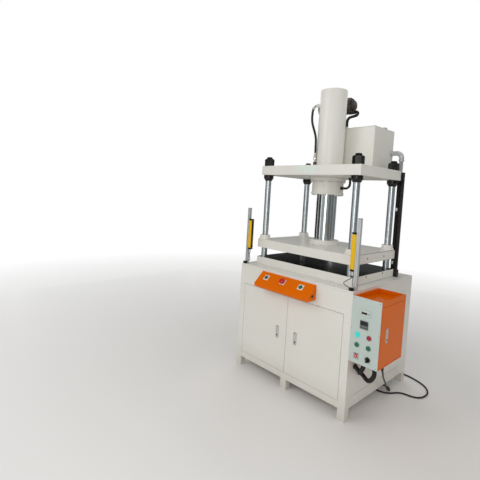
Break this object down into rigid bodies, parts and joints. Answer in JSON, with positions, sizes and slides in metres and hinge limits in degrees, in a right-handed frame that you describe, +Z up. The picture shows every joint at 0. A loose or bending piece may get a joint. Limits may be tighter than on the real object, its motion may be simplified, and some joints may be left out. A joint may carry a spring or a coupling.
{
  "type": "hydraulic press",
  "caption": "Upright column-guided hydraulic press on a sheet-steel cabinet, with a top cylinder, guided platen, oil tank and pump, light curtains, two-hand console and side control box.",
  "frame": {"origin": "centre of the footprint of the press without its power cable, at the floor", "axes": "+Z up, -Y the operator's side with the doors and the console, +X the operator's right with the control box"},
  "size_m": [1.1908, 1.178, 2.194],
  "materials": {
    "white_enamel": "warm white enamel, semi-gloss",
    "hard_chrome": "hard chrome plate, polished",
    "black_oxide": "black oxide, oiled",
    "zinc_plate": "zinc plated, satin",
    "black_enamel": "black enamel, satin",
    "black_rubber": "matt rubber",
    "galvanised_conduit": "galvanised, satin",
    "anodised_aluminium": "clear anodised, satin",
    "yellow_enamel": "yellow enamel, satin",
    "orange_enamel": "orange enamel, semi-gloss",
    "pale_grey_panel": "pale grey-green panel, satin",
    "green_plastic": "moulded, gloss",
    "red_plastic": "moulded, gloss",
    "cyan_lens": "translucent lamp lens, gloss",
    "black_plastic": "moulded, matt"
  },
  "bodies": {
    "press_frame": {"base_frame": "white_enamel", "cabinet_shell": "white_enamel", "cabinet_top": "white_enamel", "side_panel": "white_enamel", "bolster": "white_enamel", "crown": "white_enamel", "cylinder_tube": "white_enamel", "cylinder_gland": "white_enamel", "oil_tank": "white_enamel", "tank_lid": "white_enamel", "column_front_left": "hard_chrome", "crown_nut_front_left": "black_oxide", "column_front_right": "hard_chrome", "crown_nut_front_right": "black_oxide", "column_rear_left": "hard_chrome", "crown_nut_rear_left": "black_oxide", "column_rear_right": "hard_chrome", "crown_nut_rear_right": "black_oxide", "pump_motor": "black_enamel", "vane_pump": "black_enamel", "motor_bracket": "black_enamel", "limit_rail": "black_enamel", "pressure_hose": "black_rubber", "return_hose": "black_rubber", "suction_hose": "black_rubber", "box_conduit_front": "black_rubber", "box_conduit_rear": "black_rubber", "power_cable": "black_rubber", "power_coil": "black_rubber", "conduit_riser": "galvanised_conduit", "curtain_post_left": "anodised_aluminium", "curtain_post_right": "anodised_aluminium", "light_curtain_left": "yellow_enamel", "light_curtain_right": "yellow_enamel", "console": "orange_enamel", "control_box": "orange_enamel", "control_panel": "pale_grey_panel", "power_plug": "black_plastic"},
    "head": {"ram": "hard_chrome", "platen": "white_enamel", "trigger_dog": "zinc_plate", "guide_bush_front_left": "white_enamel", "guide_bush_front_right": "white_enamel", "guide_bush_rear_left": "white_enamel", "guide_bush_rear_right": "white_enamel"},
    "door_left": {"door_left": "white_enamel"},
    "door_right": {"door_right": "white_enamel"},
    "box_door": {"control_box_door": "orange_enamel"},
    "lock_left": {"lock_left": "zinc_plate"},
    "lock_right": {"lock_right": "zinc_plate"},
    "lock_side": {"lock_side": "zinc_plate"},
    "start_left": {"start_button_left": "green_plastic"},
    "start_right": {"start_button_right": "green_plastic"},
    "emergency_stop": {"emergency_stop": "red_plastic"},
    "lamp_button": {"lamp_button": "cyan_lens"},
    "stop_button": {"stop_button": "red_plastic"},
    "up_button": {"up_button": "green_plastic"},
    "down_button": {"down_button": "green_plastic"},
    "power_rocker": {"power_rocker": "red_plastic"},
    "mode_selector": {"mode_selector": "black_plastic"}
  },
  "joints": [
    {"name": "head_slide", "type": "slide", "parent": "press_frame", "child": "head", "axis": [0, 0, 1], "range_m": [-0.07, 0.33]},
    {"name": "door_left_hinge", "type": "hinge", "parent": "press_frame", "child": "door_left", "pos_m": [-0.5241, -0.387, 0.12], "axis": [0, 0, -1], "range_deg": [0, 105]},
    {"name": "door_right_hinge", "type": "hinge", "parent": "press_frame", "child": "door_right", "pos_m": [0.3399, -0.387, 0.12], "axis": [0, 0, 1], "range_deg": [0, 105]},
    {"name": "box_door_hinge", "type": "hinge", "parent": "press_frame", "child": "box_door", "pos_m": [0.5766, -0.0867, 0.4115], "axis": [0, 0, 1], "range_deg": [0, 105]},
    {"name": "lock_left_pull", "type": "hinge", "parent": "door_left", "child": "lock_left", "pos_m": [-0.1731, -0.38975, 0.426], "axis": [-1, 0, 0], "range_deg": [0, 50]},
    {"name": "lock_right_pull", "type": "hinge", "parent": "door_right", "child": "lock_right", "pos_m": [-0.0111, -0.38975, 0.426], "axis": [-1, 0, 0], "range_deg": [0, 50]},
    {"name": "lock_side_pull", "type": "hinge", "parent": "box_door", "child": "lock_side", "pos_m": [0.57935, -0.2997, 0.625], "axis": [0, -1, 0], "range_deg": [0, 50]},
    {"name": "start_left_press", "type": "slide", "parent": "press_frame", "child": "start_left", "axis": [0, 0.6727, -0.7399], "range_m": [0, 0.004], "stiffness_N_per_m": 500, "springref_m": -0.002},
    {"name": "start_right_press", "type": "slide", "parent": "press_frame", "child": "start_right", "axis": [0, 0.6727, -0.7399], "range_m": [0, 0.004], "stiffness_N_per_m": 500, "springref_m": -0.002},
    {"name": "emergency_stop_press", "type": "slide", "parent": "press_frame", "child": "emergency_stop", "axis": [0, 0.6727, -0.7399], "range_m": [0, 0.004], "stiffness_N_per_m": 500, "springref_m": -0.002},
    {"name": "lamp_button_press", "type": "slide", "parent": "press_frame", "child": "lamp_button", "axis": [0, 1, 0], "range_m": [0, 0.004], "stiffness_N_per_m": 500, "springref_m": -0.002},
    {"name": "stop_button_press", "type": "slide", "parent": "press_frame", "child": "stop_button", "axis": [0, 1, 0], "range_m": [0, 0.004], "stiffness_N_per_m": 500, "springref_m": -0.002},
    {"name": "up_button_press", "type": "slide", "parent": "press_frame", "child": "up_button", "axis": [0, 1, 0], "range_m": [0, 0.004], "stiffness_N_per_m": 500, "springref_m": -0.002},
    {"name": "down_button_press", "type": "slide", "parent": "press_frame", "child": "down_button", "axis": [0, 1, 0], "range_m": [0, 0.004], "stiffness_N_per_m": 500, "springref_m": -0.002},
    {"name": "power_rocker_tilt", "type": "hinge", "parent": "press_frame", "child": "power_rocker", "pos_m": [0.4459, -0.39, 0.445], "axis": [-1, 0, 0], "range_deg": [0, 12]},
    {"name": "mode_selector_turn", "type": "hinge", "parent": "press_frame", "child": "mode_selector", "pos_m": [0.5189, -0.391, 0.445], "axis": [0, -1, 0], "range_deg": [-45, 45]}
  ]
}
